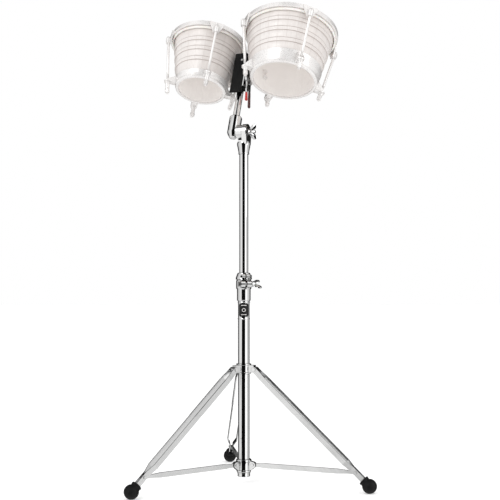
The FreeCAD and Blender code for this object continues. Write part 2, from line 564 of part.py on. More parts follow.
def drum_rim(drum):
    """Steel hoop with an inward lip on the flesh hoop and a hanging claw at each rod."""
    out, grip, top = drum["rim"], shell_radius(drum, SHELL_TOP) + 2.0, RIM_TOP
    hoop = lathe([(grip, top - 11.2), (out - 1.2, top - 12), (out, top - 11), (out, top - 1.2),
                  (out - 1.5, top), (out - 3.2, top - 1.2), (out - 3.2, top - 8.8), (grip, top - 9.4)])
    length = rod_length(drum)
    claw = side_plate_x([(-19, top - 2), (19, top - 2), (17, top - 11), (6.5, top - 32), (-6.5, top - 32),
                         (-17, top - 11)], out - 3.0, out + 2.0)
    claw = claw.cut(Part.makeCylinder(out - 1.2, BIG, Vector(0, 0, -100), UP))
    boss = placed(rod_between(6.4, (0, 0, length - 13), (0, 0, length - 0.2)), rod_frame(drum))
    bore = placed(rod_between(TENSION_ROD_RADIUS + 0.15, (0, 0, -20), (0, 0, length + 30)), rod_frame(drum))
    boss = boss.cut(Part.makeCylinder(out - 1.2, BIG, Vector(0, 0, -100), UP))
    seat = placed(rod_between(6.5, (0, 0, length - 0.1), (0, 0, length + 40)), rod_frame(drum))
    claws = around(drum, join(claw, boss).cut(bore).cut(seat))
    return join(hoop, *claws)


def bottom_ring(drum):
    """Drawn steel skirt round the shell's foot, turned in under it, with four bolt ears."""
    out, skirt = drum["ring"], drum["skirt"]
    turned_in = shell_radius(drum, SKIRT_WALL) - SHELL_WALL + 2.5
    body = [(turned_in, 0), (out - 3, 0), (out - 1, 0.9), (out, 3), (out, 6)]
    for z in (skirt * 0.5, skirt - 1):
        body.append((shell_radius(drum, z) + 0.15 + SKIRT_WALL, z))
    body += [(shell_radius(drum, skirt) + 0.15 + 1.2, skirt), (shell_radius(drum, skirt) + 0.15, skirt),
             (shell_radius(drum, skirt * 0.5) + 0.15, skirt * 0.5),
             (shell_radius(drum, SKIRT_WALL) + 0.15, SKIRT_WALL), (turned_in, SKIRT_WALL)]
    ring = lathe(body)
    reach = drum["rod_low"] - out + 4
    flat = join(slab(-reach, 0, -8.5, 8.5, 0, 4.2), rod_between(8.5, (0, 0, 0), (0, 0, 4.2)))
    flat = placed(flat, rod_frame(drum))
    web = side_plate([(out - 2, 1), (drum["rod_low"] + 3, 1.5), (drum["rod_low"] + 4, 6),
                      (out + 3, skirt - 2), (out - 2, skirt - 2)], 5.7, 8.2)
    clear = lathe([(0, -BIG), (shell_radius(drum, SKIRT_WALL) + 0.15, -BIG),
                   (shell_radius(drum, SKIRT_WALL) + 0.15, SKIRT_WALL),
                   (shell_radius(drum, skirt * 0.5) + 0.15, skirt * 0.5),
                   (shell_radius(drum, skirt) + 0.15, skirt), (0, skirt)])
    ear = join(flat, web, mirrored_y(web))
    bore = rod_between(TENSION_ROD_RADIUS + 0.15, (0, 0, -BIG), (0, 0, BIG))
    ear = ear.cut(clear).cut(placed(bore, rod_frame(drum)))
    return join(ring, *around(drum, ear))


def tension_rod(drum):
    """Round rod, threaded at the bottom, with a domed head that sits on the claw's boss."""
    length = rod_length(drum)
    shank = rod_between(TENSION_ROD_RADIUS, (0, 0, drum["rod_foot"]), (0, 0, length + 1))
    head = lathe([(0, length), (6.2, length), (6.2, length + 3), (4.6, length + 5.4), (0, length + 6.2)])
    return placed(join(shank, head), rod_frame(drum))


def tuning_nut(drum):
    """Long hexagon nut under an ear, with a round collar."""
    foot = drum["rod_foot"] + 4
    nut = join(hexagon(10.0, foot, foot + 11), rod_between(4.9, (0, 0, foot + 10), (0, 0, -2)),
               rod_between(7.2, (0, 0, -2.4), (0, 0, -0.1)))
    nut = nut.cut(rod_between(TENSION_ROD_RADIUS + RUNNING, (0, 0, -60), (0, 0, 5)))
    return placed(nut, rod_frame(drum))


def drum_place(drum):
    return head_frame().multiply(about_z(0, Vector(drum["x"], DRUM_LINE_Y, DRUM_BASE_Z)))


def centre_block():
    """Wooden block: a tongue that drops into the bracket and a bridge that meets both shells."""
    inner = BRACKET_HALF_WIDTH - SHEET
    tongue = slab(-inner + 1.05, inner - 1.05, BRACKET_Y[0] + SHEET + 1.4, 22, *TONGUE_Z)
    bridge_z = (160.0, 196.0)
    bridge = slab(-62, 60, 13, 32, *bridge_z)
    block = join(tongue, bridge)
    for drum in DRUMS.values():
        centre = Vector(drum["x"], DRUM_LINE_Y, DRUM_BASE_Z)
        solid = lathe(shell_profile(drum, 0.1) + [(0, SHELL_TOP), (0, SKIRT_WALL)])
        block = block.cut(placed(solid, about_z(0, centre)))
        for hole in block_holes(drum):
            block = block.cut(placed(hole, about_z(0, centre)))
    return block


def drums():
    nodes = {"tension_rods": [], "tuning_nuts": [], "block_bolts": []}
    for name, drum in DRUMS.items():
        place = drum_place(drum)
        nodes["%s_shell" % name] = [placed(drum_shell(drum), place)]
        nodes["%s_head" % name] = [placed(drum_head(drum), place)]
        nodes["%s_rim" % name] = [placed(drum_rim(drum), place)]
        nodes["%s_bottom_ring" % name] = [placed(bottom_ring(drum), place)]
        nodes["tension_rods"] += [placed(s, place) for s in around(drum, tension_rod(drum))]
        nodes["tuning_nuts"] += [placed(s, place) for s in around(drum, tuning_nut(drum))]
        nodes["block_bolts"] += [placed(block_bolt(drum, z), place) for z in BOLT_HEIGHTS]
    nodes["centre_block"] = [placed(centre_block(), head_frame())]
    return nodes


# ---- export -----------------------------------------------------------------
def main():
    nodes = {}
    for group in (legs(), braces(), leg_hub(), brace_hub(), lower_column(), height_clamp(), memory_lock(),
                  upper_column(), tilter(), drums()):
        nodes.update(group)
    head = head_frame()
    nodes.update({name: [placed(s, head) for s in shapes] for name, shapes in mount().items()})
    os.makedirs("parts", exist_ok=True)
    for name, shapes in nodes.items():
        solids = [solid for shape in shapes for solid in shape.Solids]
        body = solids[0] if len(solids) == 1 else Part.makeCompound(solids)
        body.exportStep("parts/%s.step" % name)


main()
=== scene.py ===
import json
import math

import bmesh
import bpy
from mathutils import Matrix, Vector


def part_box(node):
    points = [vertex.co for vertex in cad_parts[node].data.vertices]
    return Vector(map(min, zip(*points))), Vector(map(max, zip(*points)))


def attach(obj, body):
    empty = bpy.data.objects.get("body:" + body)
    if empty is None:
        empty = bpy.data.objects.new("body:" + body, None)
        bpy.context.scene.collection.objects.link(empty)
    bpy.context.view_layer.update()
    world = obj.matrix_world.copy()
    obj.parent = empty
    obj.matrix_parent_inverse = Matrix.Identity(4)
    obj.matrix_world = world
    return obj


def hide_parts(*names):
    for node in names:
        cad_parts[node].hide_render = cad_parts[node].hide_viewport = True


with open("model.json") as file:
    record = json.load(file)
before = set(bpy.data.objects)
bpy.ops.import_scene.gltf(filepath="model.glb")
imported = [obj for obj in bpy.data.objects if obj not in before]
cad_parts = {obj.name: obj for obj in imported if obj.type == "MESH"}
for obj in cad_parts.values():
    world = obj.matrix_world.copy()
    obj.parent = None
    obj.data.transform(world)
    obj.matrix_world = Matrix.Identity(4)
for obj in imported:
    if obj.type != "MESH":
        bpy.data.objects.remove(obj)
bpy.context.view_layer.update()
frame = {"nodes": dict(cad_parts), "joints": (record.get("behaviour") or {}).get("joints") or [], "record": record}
MM = 0.001
TURN = 2 * math.pi
JOINTS = {joint["name"]: joint for joint in frame["joints"]}
MOUNTS = {mount["name"]: mount for mount in frame["record"]["mounts"]}
NODES = frame["nodes"]
LEGS = ("left", "right", "rear")
FLOOR_Z = MOUNTS["sole_right"]["pos_m"][2]

# Every shape below is in millimetres of its own frame; emit() scales it to metres.
BALL_RADIUS = 17.5          # ball of a rubber foot
SOLE_FLAT = 0.65            # how far the ball is pressed flat on the floor


# ---- frames -----------------------------------------------------------------
def axes_matrix(origin, x_axis, z_axis):
    """Frame with its z on one axis and its x as near the other as that allows."""
    z = Vector(z_axis).normalized()
    x = Vector(x_axis)
    x = (x - z * z.dot(x)).normalized()
    matrix = Matrix((x, z.cross(x), z)).transposed().to_4x4()
    matrix.translation = Vector(origin)
    return matrix


def joint_matrix(name):
    """Frame of a joint, with z along its axis and x upwards."""
    joint = JOINTS[name]
    return axes_matrix(joint["pos_m"], (0, 0, 1), joint["axis"])


HEAD = axes_matrix(JOINTS["head_swivel"]["pos_m"], JOINTS["clamp_knob_turn"]["axis"],
                   JOINTS["head_swivel"]["axis"])


def leg_matrix(name):
    """x runs down the leg from its pivot, y is the pivot's axis."""
    joint = JOINTS["leg_%s_fold" % name]
    pivot, side = Vector(joint["pos_m"]), Vector(joint["axis"])
    sole = Vector(MOUNTS["sole_" + name]["pos_m"])
    along = (sole + Vector((0, 0, BALL_RADIUS * MM - SOLE_FLAT * MM)) - pivot).normalized()
    return axes_matrix(pivot, along, along.cross(side))


def local_span(node, matrix):
    """Lowest and highest corner of a CAD node in a frame of its own, in millimetres."""
    inverse = matrix.inverted()
    points = [inverse @ v.co / MM for v in NODES[node].data.vertices]
    low = Vector([min(p[i] for p in points) for i in range(3)])
    high = Vector([max(p[i] for p in points) for i in range(3)])
    return low, high


def rotation(axis, degrees):
    return Matrix.Rotation(math.radians(degrees), 4, axis)


def rise(z):
    return Matrix.Translation((0, 0, z * MM))


# ---- mesh helpers -----------------------------------------------------------
def emit(name, bm, matrix, material, body, replaces=(), smooth=40):
    """Turn a bmesh in millimetres of some frame into a piece that rides on a body."""
    bmesh.ops.recalc_face_normals(bm, faces=bm.faces)
    mesh = bpy.data.meshes.new(name)
    bm.to_mesh(mesh)
    bm.free()
    mesh.transform(Matrix.Scale(MM, 4))
    mesh.transform(matrix)
    piece = bpy.data.objects.new(name, mesh)
    bpy.context.scene.collection.objects.link(piece)
    mesh.materials.append(material)
    shade(mesh, smooth)
    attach(piece, body)
    if replaces:
        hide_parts(*replaces)
    return piece


def shade(mesh, angle):
    """Smooth faces, with sharp edges where they meet at more than an angle in degrees."""
    mesh.polygons.foreach_set("use_smooth", [True] * len(mesh.polygons))
    limit = math.radians(angle)
    bm = bmesh.new()
    bm.from_mesh(mesh)
    for edge in bm.edges:
        edge.smooth = len(edge.link_faces) == 2 and edge.calc_face_angle(0) < limit
    bm.to_mesh(mesh)
    bm.free()


def circle(count):
    return [TURN * k / count for k in range(count)]


def offsets(origin, steps):
    """Points at (across, along) steps from an origin."""
    return [(origin[0] + across, origin[1] + along) for across, along in steps]


def lathe(bm, profile, angles, closed=False, radius_at=None, place=None):
    """Turn (radius, z) points about Z. Points with zero radius become poles."""
    rings = []
    for radius, z in profile:
        if radius <= 1e-9:
            rings.append([bm.verts.new((0, 0, z))])
            continue
        ring = []
        for a in angles:
            r = radius_at(radius, a, z) if radius_at else radius
            ring.append(bm.verts.new((r * math.cos(a), r * math.sin(a), z)))
        rings.append(ring)
    pairs = list(zip(rings, rings[1:])) + ([(rings[-1], rings[0])] if closed else [])
    for low, high in pairs:
        stitch(bm, low, high)
    if place is not None:
        bmesh.ops.transform(bm, matrix=place, verts=[v for ring in rings for v in ring])


def stitch(bm, low, high):
    """Join two rings of equal length, or a ring and a single pole, with faces."""
    count = max(len(low), len(high))
    for k in range(count):
        n = (k + 1) % count
        if len(low) == 1 and len(high) > 1:
            bm.faces.new((low[0], high[k], high[n]))
        elif len(high) == 1 and len(low) > 1:
            bm.faces.new((low[k], low[n], high[0]))
        elif len(low) > 1:
            bm.faces.new((low[k], low[n], high[n], high[k]))


def skin_over(bm, loops, capped=True):
    """Join a list of closed loops of points, with a cap at both ends if asked."""
    rings = [[bm.verts.new(p) for p in loop] for loop in loops]
    for low, high in zip(rings, rings[1:]):
        stitch(bm, low, high)
    if capped:
        bm.faces.new(list(reversed(rings[0])))
        bm.faces.new(rings[-1])


# ---- node graphs ------------------------------------------------------------
class Graph:
    """Short calls for building a node tree."""

    def __init__(self, tree):
        self.tree = tree

    def node(self, kind, **settings):
        node = self.tree.nodes.new(kind)
        for key, value in settings.items():
            setattr(node, key, value)
        return node

    def link(self, source, target):
        self.tree.links.new(source, target)

    def feed(self, socket, value):
        """Give a socket a colour, a number or another node's output."""
        if isinstance(value, tuple):
            socket.default_value = value + (1.0,)
        elif isinstance(value, (int, float)):
            socket.default_value = value
        else:
            self.link(value, socket)

    def math(self, operation, *values):
        node = self.node("ShaderNodeMath", operation=operation)
        for socket, value in zip(node.inputs, values):
            self.feed(socket, value)
        return node.outputs[0]

    def mix(self, factor, a, b):
        node = self.node("ShaderNodeMix", data_type="RGBA")
        for key, value in ((0, factor), (6, a), (7, b)):
            self.feed(node.inputs[key], value)
        return node.outputs[2]

    def split(self, vector):
        node = self.node("ShaderNodeSeparateXYZ")
        self.link(vector, node.inputs[0])
        return node.outputs["X"], node.outputs["Y"], node.outputs["Z"]

    def ramp(self, source, stops):
        """Grey levels, very slightly warm, at positions from 0 to 1."""
        ramp = self.node("ShaderNodeValToRGB")
        elements = ramp.color_ramp.elements
        while len(elements) > 1:
            elements.remove(elements[0])
        for k, (position, level) in enumerate(stops):
            element = elements[0] if k == 0 else elements.new(position)
            element.position = position
            element.color = (level, level * 0.995, level * 0.985, 1)
        self.link(source, ramp.inputs["Fac"])
        return ramp.outputs["Color"]


class Shader(Graph):
    """A material's graph round one Principled BSDF."""

    def __init__(self, name):
        self.material = bpy.data.materials.new(name)
        self.material.use_nodes = True
        super().__init__(self.material.node_tree)
        self.bsdf = self.tree.nodes["Principled BSDF"]
        self.coords = self.node("ShaderNodeTexCoord").outputs["Object"]

    def aligned(self, matrix=None, scale=(1, 1, 1)):
        """Object coordinates turned into a frame, then stretched."""
        source = self.coords
        if matrix is not None:
            turn = self.node("ShaderNodeMapping")
            inverse = matrix.inverted()
            turn.inputs["Rotation"].default_value = inverse.to_euler()
            turn.inputs["Location"].default_value = inverse.translation
            self.link(source, turn.inputs["Vector"])
            source = turn.outputs["Vector"]
        stretch = self.node("ShaderNodeMapping")
        stretch.inputs["Scale"].default_value = scale
        self.link(source, stretch.inputs["Vector"])
        return stretch.outputs["Vector"]

    def noise(self, vector, scale, detail=3.0, rough=0.55):
        node = self.node("ShaderNodeTexNoise")
        node.inputs["Scale"].default_value = scale
        node.inputs["Detail"].default_value = detail
        node.inputs["Roughness"].default_value = rough
        self.link(vector, node.inputs["Vector"])
        return node.outputs["Fac"]

    def cell_edges(self, vector, scale):
        """Distance to the nearest edge between cells."""
        node = self.node("ShaderNodeTexVoronoi", feature="DISTANCE_TO_EDGE")
        node.inputs["Scale"].default_value = scale
        self.link(vector, node.inputs["Vector"])
        return node.outputs["Distance"]

    def facing(self, blend):
        """0 where a face looks at the camera, 1 where it turns away."""
        node = self.node("ShaderNodeLayerWeight")
        node.inputs["Blend"].default_value = blend
        return node.outputs["Facing"]

    def open_air(self, reach):
        """1 in the open, less in a crevice narrower than the reach in metres."""
        node = self.node("ShaderNodeAmbientOcclusion", samples=6)
        node.inputs["Distance"].default_value = reach
        return node.outputs["AO"]

    def remap(self, source, low, high, from_low=0.3, from_high=0.7):
        node = self.node("ShaderNodeMapRange")
        node.inputs["From Min"].default_value = from_low
        node.inputs["From Max"].default_value = from_high
        node.inputs["To Min"].default_value = low
        node.inputs["To Max"].default_value = high
        self.link(source, node.inputs["Value"])
        return node.outputs["Result"]

    def bump(self, height, strength, distance):
        """Add a bump on top of those already there; the distance is in metres."""
        node = self.node("ShaderNodeBump")
        node.inputs["Strength"].default_value = strength
        node.inputs["Distance"].default_value = distance
        self.link(height, node.inputs["Height"])
        previous = self.bsdf.inputs["Normal"]
        if previous.is_linked:
            self.link(previous.links[0].from_socket, node.inputs["Normal"])
        self.link(node.outputs["Normal"], previous)

    def set(self, **inputs):
        for key, value in inputs.items():
            self.feed(self.bsdf.inputs[key.replace("_", " ")], value)
        return self.material


# ---- metal, rubber and plastic ----------------------------------------------
# Painted shade on chrome faces that turn away, in place of dark reflections at grazing angles.
CHROME_PAINTED_EDGE_SHADE = (0.02, 0.021, 0.022)
# Painted shade in chrome crevices where parts meet.
CHROME_PAINTED_CREVICE_SHADE = (0.015, 0.015, 0.016)
CHROME_TUBE = (0.93, 0.935, 0.94)
CHROME_CAST = (0.90, 0.905, 0.91)
CHROME_STRIP = (0.86, 0.865, 0.87)
RED = (0.34, 0.008, 0.008), (0.56, 0.018, 0.014)
# The rear grip's red vinyl painted darker as shade; it is the same vinyl as the front grip.
RED_IN_PAINTED_SHADE = (0.022, 0.004, 0.004), (0.085, 0.008, 0.007)


def chrome(name, tint, rough, ripple, matrix=None, stretch=(1, 1, 1), brush=0.0, edge=0.8,
           hollow=0.006):
    """Plated metal: slow ripple, faint haze, and painted shade where it turns away and in crevices.

    The edge is how far a face turns before its painted shade is darkest, from 0 to 1. The
    hollow is the width of a crevice, in metres, that gets painted shade. A brushed strip has its grain along the
    matrix's x.
    """
    s = Shader(name)
    flow = s.aligned(matrix, stretch)
    haze = s.noise(flow, 38.0, 4.0)
    fine = s.noise(s.aligned(matrix, (30 if brush else 900, 900, 900)), 1.0, 2.0)
    dull = tuple(c * 0.93 for c in tint)
    colour = s.mix(s.remap(haze, 0.0, 1.0), dull, tint)
    # Painted shade: faces turning away from the camera are darkened, in place of dark reflections.
    turned = s.remap(s.facing(0.5), 0.0, edge, 0.42, 0.76)
    colour = s.mix(turned, colour, CHROME_PAINTED_EDGE_SHADE)
    # Painted shade: ambient occlusion darkens the crevices where parts meet.
    crevice = s.remap(s.open_air(hollow), 0.95, 0.0, 0.25, 0.8)
    colour = s.mix(crevice, colour, CHROME_PAINTED_CREVICE_SHADE)
    roughness = s.math("ADD", s.remap(haze, rough * 0.6, rough * 1.5),
                       s.remap(fine, 0.0, 0.02 + brush))
    s.bump(s.noise(flow, 22.0, 2.0), ripple, 0.0006)
    if brush:
        s.bump(fine, 0.10, 0.00003)
    return s.set(Base_Color=colour, Metallic=1.0, Roughness=roughness)


def black_powder():
    """Powder coat on the bracket: fine grain over orange peel."""
    s = Shader("black_powder_coat")
    grain = s.noise(s.coords, 1500.0, 2.0)
    peel = s.noise(s.coords, 420.0, 3.0)
    patch = s.noise(s.coords, 30.0, 4.0)
    colour = s.mix(s.remap(patch, 0.0, 1.0), (0.0045, 0.0045, 0.0048), (0.010, 0.0098, 0.0096))
    s.bump(peel, 0.25, 0.0002)
    s.bump(grain, 0.15, 0.00006)
    return s.set(Base_Color=colour, Roughness=s.remap(peel, 0.46, 0.62), Specular_IOR_Level=0.12)


def rubber():
    """Black rubber with some dust on its lowest 20 mm."""
    s = Shader("black_rubber")
    grain = s.noise(s.coords, 1200.0, 3.0)
    dust = s.noise(s.coords, 60.0, 5.0, 0.7)
    height = s.split(s.coords)[2]
    low = s.remap(height, 0.5, 0.0, FLOOR_Z, FLOOR_Z + 0.02)
    dirt = s.math("MULTIPLY", low, s.remap(dust, 0.0, 1.0, 0.42, 0.72))
    colour = s.mix(dirt, (0.006, 0.006, 0.0066), (0.030, 0.029, 0.028))
    s.bump(grain, 0.3, 0.00012)
    return s.set(Base_Color=colour, Roughness=s.remap(dust, 0.50, 0.70), Specular_IOR_Level=0.2)


def moulded_black(name):
    """Moulded plastic or lacquer with a satin face."""
    s = Shader(name)
    grain = s.noise(s.coords, 1700.0, 2.0)
    patch = s.noise(s.coords, 80.0, 4.0)
    colour = s.mix(s.remap(patch, 0.0, 1.0), (0.005, 0.005, 0.0054), (0.012, 0.012, 0.0125))
    s.bump(grain, 0.2, 0.00008)
    return s.set(Base_Color=colour, Roughness=s.remap(patch, 0.30, 0.42), Specular_IOR_Level=0.25)


def vinyl(name, dark, bright):
    """Dipped vinyl: glossy, with slow runs down the lever."""
    s = Shader(name)
    flow = s.noise(s.aligned(HEAD, (1, 1, 0.35)), 260.0, 3.0)
    speck = s.noise(s.coords, 1300.0, 2.0)
    s.bump(flow, 0.35, 0.0003)
    s.bump(speck, 0.08, 0.00005)
    colour = s.mix(s.remap(flow, 0.0, 1.0), dark, bright)
    return s.set(Base_Color=colour, Roughness=s.remap(flow, 0.24, 0.38), Coat_Weight=0.25)


def pale_steel():
    """White coat on pressed steel, with orange peel, slightly warmer patches and painted shade where faces turn
    away.
    """
    s = Shader("pale_steel")
    patch = s.noise(s.coords, 45.0, 5.0, 0.65)
    peel = s.noise(s.coords, 520.0, 2.0)
    colour = s.mix(s.remap(patch, 0.0, 1.0), (0.80, 0.775, 0.76), (0.88, 0.865, 0.855))
    # Painted shade: faces that turn away are darkened, standing in for shaded outlines at the edges.
    turned = s.remap(s.facing(0.35), 0.0, 0.85, 0.25, 0.9)
    colour = s.mix(turned, colour, (0.48, 0.45, 0.43))
    s.bump(peel, 0.10, 0.00012)
    return s.set(Base_Color=colour, Roughness=s.remap(peel, 0.24, 0.36), Metallic=0.25,
                 Coat_Weight=0.3, Coat_Roughness=0.1)


# ---- wood and skin ----------------------------------------------------------
SHELL_TOP = 137.0
BEAD_SHADE_LINE_AT = 4.9          # from a bead's middle to the painted shade line in the groove at its edge
BEAD_SHADE_LINE_HALF = 0.85
RIM_SHADE = (SHELL_TOP - 32.0) * MM, (SHELL_TOP - 12.0) * MM
SEAM_SPAN = 0.475, 0.495    # where a stave darkens, in staves from its middle
SEAM_TINT = (0.52, 0.465, 0.43)
# Painted shade for the grooves beside each bead.
BEAD_GROOVE_PAINTED_SHADE = (0.40, 0.34, 0.31)
RIM_SHADE_TINT = (0.60, 0.545, 0.51)
PORE_TINT = (0.60, 0.54, 0.51)
GRAIN_TINT = (0.660, 0.605, 0.575)


def stave_wood(name, matrix, beads, staves):
    """White-washed staves, each with its own tint, and grain along the drum's axis.

    Lines of painted shade run in the grooves beside the turned beads, dark lines run between
    the staves, and painted shade darkens the wood under the rim.
    """
    s = Shader(name)
    x, y, z = s.split(s.aligned(matrix))
    turn = s.math("MULTIPLY", s.math("ARCTAN2", y, x), staves / TURN)
    tint = s.node("ShaderNodeTexWhiteNoise", noise_dimensions="1D")
    s.link(s.math("FLOOR", turn), tint.inputs["W"])
    along = s.node("ShaderNodeCombineXYZ")
    s.link(s.math("MULTIPLY", turn, 5.0), along.inputs["X"])
    s.link(s.math("MULTIPLY", z, 11.0), along.inputs["Y"])
    s.link(tint.outputs["Value"], along.inputs["Z"])
    grain = s.noise(along.outputs[0], 3.2, 6.0, 0.62)
    pores = s.noise(s.aligned(matrix, (620, 620, 45)), 1.0, 2.0)
    colour = s.mix(tint.outputs["Value"], (0.735, 0.690, 0.665), (0.820, 0.785, 0.765))
    colour = s.mix(s.remap(grain, 0.0, 0.55, 0.40, 0.72), colour, GRAIN_TINT)
    colour = s.mix(s.remap(pores, 0.0, 0.35, 0.55, 0.8), colour, PORE_TINT)
    # Painted shade in the grooves at both edges of each bead.
    for bead in beads:
        for edge in (bead - BEAD_SHADE_LINE_AT, bead + BEAD_SHADE_LINE_AT):
            line = s.math("COMPARE", z, edge * MM, BEAD_SHADE_LINE_HALF * MM)
            colour = s.mix(s.math("MULTIPLY", line, 0.75), colour, BEAD_GROOVE_PAINTED_SHADE)
    from_middle = s.math("ABSOLUTE", s.math("SUBTRACT", s.math("FRACT", turn), 0.5))
    colour = s.mix(s.remap(from_middle, 0.0, 0.45, *SEAM_SPAN), colour, SEAM_TINT)
    colour = s.mix(s.remap(z, 0.0, 0.42, *RIM_SHADE), colour, RIM_SHADE_TINT)
    s.bump(pores, 0.15, 0.0001)
    s.bump(grain, 0.12, 0.0002)
    return s.set(Base_Color=colour, Roughness=s.remap(grain, 0.34, 0.5), Coat_Weight=0.2)


def interior_with_painted_glow():
    """Thin pale coat over wood with faint brush marks; a painted glow keeps it nearly even, standing in for light
    inside the shell.
    """
    s = Shader("interior_with_painted_glow")
    brush = s.noise(s.aligned(HEAD, (30, 30, 260)), 1.0, 3.0)
    patch = s.noise(s.coords, 14.0, 4.0)
    colour = s.mix(s.remap(patch, 0.0, 1.0), (0.64, 0.61, 0.59), (0.69, 0.665, 0.645))
    s.bump(brush, 0.1, 0.0001)
    # Painted light: the inner wall glows by emission, though nothing there is a lamp.
    return s.set(Base_Color=colour, Roughness=s.remap(brush, 0.6, 0.75),
                 Emission_Color=(0.80, 0.775, 0.76), Emission_Strength=0.30)


def block_wood():
    """White-washed centre block with grain from drum to drum."""
    s = Shader("white_washed_block")
    grain = s.noise(s.aligned(HEAD, (0.35, 6, 5)), 40.0, 6.0, 0.6)
    pores = s.noise(s.aligned(HEAD, (40, 700, 700)), 1.0, 2.0)
    colour = s.mix(s.remap(grain, 0.0, 1.0), (0.72, 0.675, 0.65), (0.83, 0.80, 0.78))
    s.bump(pores, 0.15, 0.0001)
    return s.set(Base_Color=colour, Roughness=s.remap(grain, 0.4, 0.55))


def hide():
    """Natural skin: cloudy, with fine veins and a slight translucency."""
    s = Shader("natural_skin")
    cloud = s.noise(s.coords, 22.0, 6.0, 0.7)
    vein = s.cell_edges(s.coords, 60.0)
    fibre = s.noise(s.coords, 900.0, 3.0)
    colour = s.mix(s.remap(cloud, 0.0, 1.0), (0.78, 0.735, 0.69), (0.87, 0.845, 0.815))
    colour = s.mix(s.remap(vein, 0.25, 0.0, 0.0, 0.03), colour, (0.70, 0.63, 0.57))
    s.bump(fibre, 0.2, 0.0001)
    s.bump(cloud, 0.15, 0.0005)
    return s.set(Base_Color=colour, Roughness=s.remap(cloud, 0.42, 0.6),
                 Subsurface_Weight=0.08, Subsurface_Scale=0.002)


def dress(nodes, material):
    """Give CAD nodes a material in place of their packed one."""
    for name in nodes:
        node = NODES[name]
        node.data.materials.clear()
        node.data.materials.append(material)


# ---- tripod feet ------------------------------------------------------------
FOOT_AT = 392.8             # from the leg's pivot to the middle of the ball
BOOT_TOP = 372.0            # from the leg's pivot to the boot's mouth
BALL_FROM = 131.0           # degrees of the ball that show, measured from its far end
BALL_STEPS = 36
COLLAR = ((0, 1.5), (6.5, 1.5), (7.0, 0), (11.2, 0), (12.3, 0.5), (12.8, 1.6), (12.8, 3.6),
          (12.2, 4.6), (11.9, 6.5), (12.1, 8.5), (12.7, 10.0))


def build_feet(material):
    """Moulded boots: a flanged collar with a waist that swells into a ball flattened below."""
    profile = offsets((0, BOOT_TOP), COLLAR)
    for k in range(BALL_STEPS):
        a = math.radians(BALL_FROM * (1 - k / BALL_STEPS))
        profile.append((BALL_RADIUS * math.sin(a), FOOT_AT + BALL_RADIUS * math.cos(a)))
    profile.append((0, FOOT_AT + BALL_RADIUS))
    for name in LEGS:
        bm = bmesh.new()
        lathe(bm, profile, circle(72))
        piece = emit("foot_boot_" + name, bm, leg_matrix(name) @ rotation("Y", 90), material,
                     "leg_" + name, ("foot_" + name,), 50)
        for v in piece.data.vertices:
            v.co.z = max(v.co.z, FLOOR_Z)


# ---- badge ------------------------------------------------------------------
BADGE_RADIUS = 15.1
RING_RADII = 4.6, 3.2
RING_STEPS = 48
BAR_HALF_WIDTH, BAR_HALF_HEIGHT = 6.5, 0.8
BAR_STEPS = 16
BAR_INSET = 5.4             # from the badge's ends to the bars
INLAY_UNDER, INLAY_OVER = -0.05, 0.16


def build_badge_marks(material):
    """Generic pale inlay on the badge: a ring between two bars, bent round the tube."""
    low, high = (corner[2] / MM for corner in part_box("badge_plate"))
    middle = (low + high) / 2

    def on_tube(across, z, out):
        a = across / BADGE_RADIUS - math.pi / 2
        return ((BADGE_RADIUS + out) * math.cos(a), (BADGE_RADIUS + out) * math.sin(a), z)

    def inlay(outline, capped):
        """Bend a strip of (outer x, outer z, inner x, inner z) sections round the tube."""
        loops = []
        for x0, z0, x1, z1 in outline:
            corners = ((x0, z0, INLAY_UNDER), (x0, z0, INLAY_OVER),
                       (x1, z1, INLAY_OVER), (x1, z1, INLAY_UNDER))
            loops.append([on_tube(*corner) for corner in corners])
        skin_over(bm, loops, capped)

    bm = bmesh.new()
    outer, inner = RING_RADII
    ring = []
    for k in range(RING_STEPS + 1):
        a = TURN * k / RING_STEPS
        ring.append((outer * math.cos(a), middle + outer * math.sin(a),
                     inner * math.cos(a), middle + inner * math.sin(a)))
    inlay(ring, False)
    for z in (low + BAR_INSET, high - BAR_INSET):
        along = [-BAR_HALF_WIDTH + 2 * BAR_HALF_WIDTH * k / BAR_STEPS for k in range(BAR_STEPS + 1)]
        inlay([(x, z + BAR_HALF_HEIGHT, x, z - BAR_HALF_HEIGHT) for x in along], True)
    bmesh.ops.remove_doubles(bm, verts=bm.verts, dist=1e-5)
    emit("badge_inlay", bm, Matrix.Identity(4), material, "column")


# ---- wing nuts --------------------------------------------------------------
NUT_BORE = 4.05
NUT_CLEARANCE = 0.05        # under the washer face
WING_STEPS = 18             # sections from root to tip
WING_SIDES = 20
WING_ROOT_IN = 3.0          # from the hub's radius to the middle of the first section
WING_ROOT_AT = 0.55         # its height, as a part of the hub's length
WING_TIP_IN, WING_TIP_DOWN = 6.5, 7.0   # from the wing's reach to the last section's middle
WING_CURVE = 0.9
WING_DEPTH, WING_BULGE = 4.6, 1.8
WING_THICK, WING_THINS = 2.35, 0.35
WING_LEAN = Vector((0.62, 0, -0.78))    # the long way across a section
# Rounded tip, counted in sections from the end: length, thickness, shift out, shift up.
WING_TIP = {0: (0.4, 0.45, 5.6, 4.4), 1: (0.86, 0.85, 3.9, 3.0), 2: (1.0, 1.0, 1.8, 1.4)}


def wing_section(k, hub, hub_length, span, reach):
    """One closed loop of points across a wing."""
    t = k / WING_STEPS
    root_z = hub_length * WING_ROOT_AT
    x = hub - WING_ROOT_IN + (span - WING_TIP_IN - hub + WING_ROOT_IN) * t
    z = root_z + (reach - WING_TIP_DOWN - root_z) * (t ** WING_CURVE)
    half_length = WING_DEPTH + WING_BULGE * math.sin(math.pi * min(1.0, t * 1.05) * 0.62)
    thick = WING_THICK - WING_THINS * t
    shorter, thinner, out, up = WING_TIP.get(WING_STEPS - k, (1.0, 1.0, 0.0, 0.0))
    loop = []
    for a in circle(WING_SIDES):
        p = Vector((x + out, 0, z + up)) + WING_LEAN * (half_length * shorter * math.cos(a))
        p.y = thick * thinner * math.sin(a) * (1.0 - 0.12 * math.cos(2 * a))
        loop.append(p)
    return loop


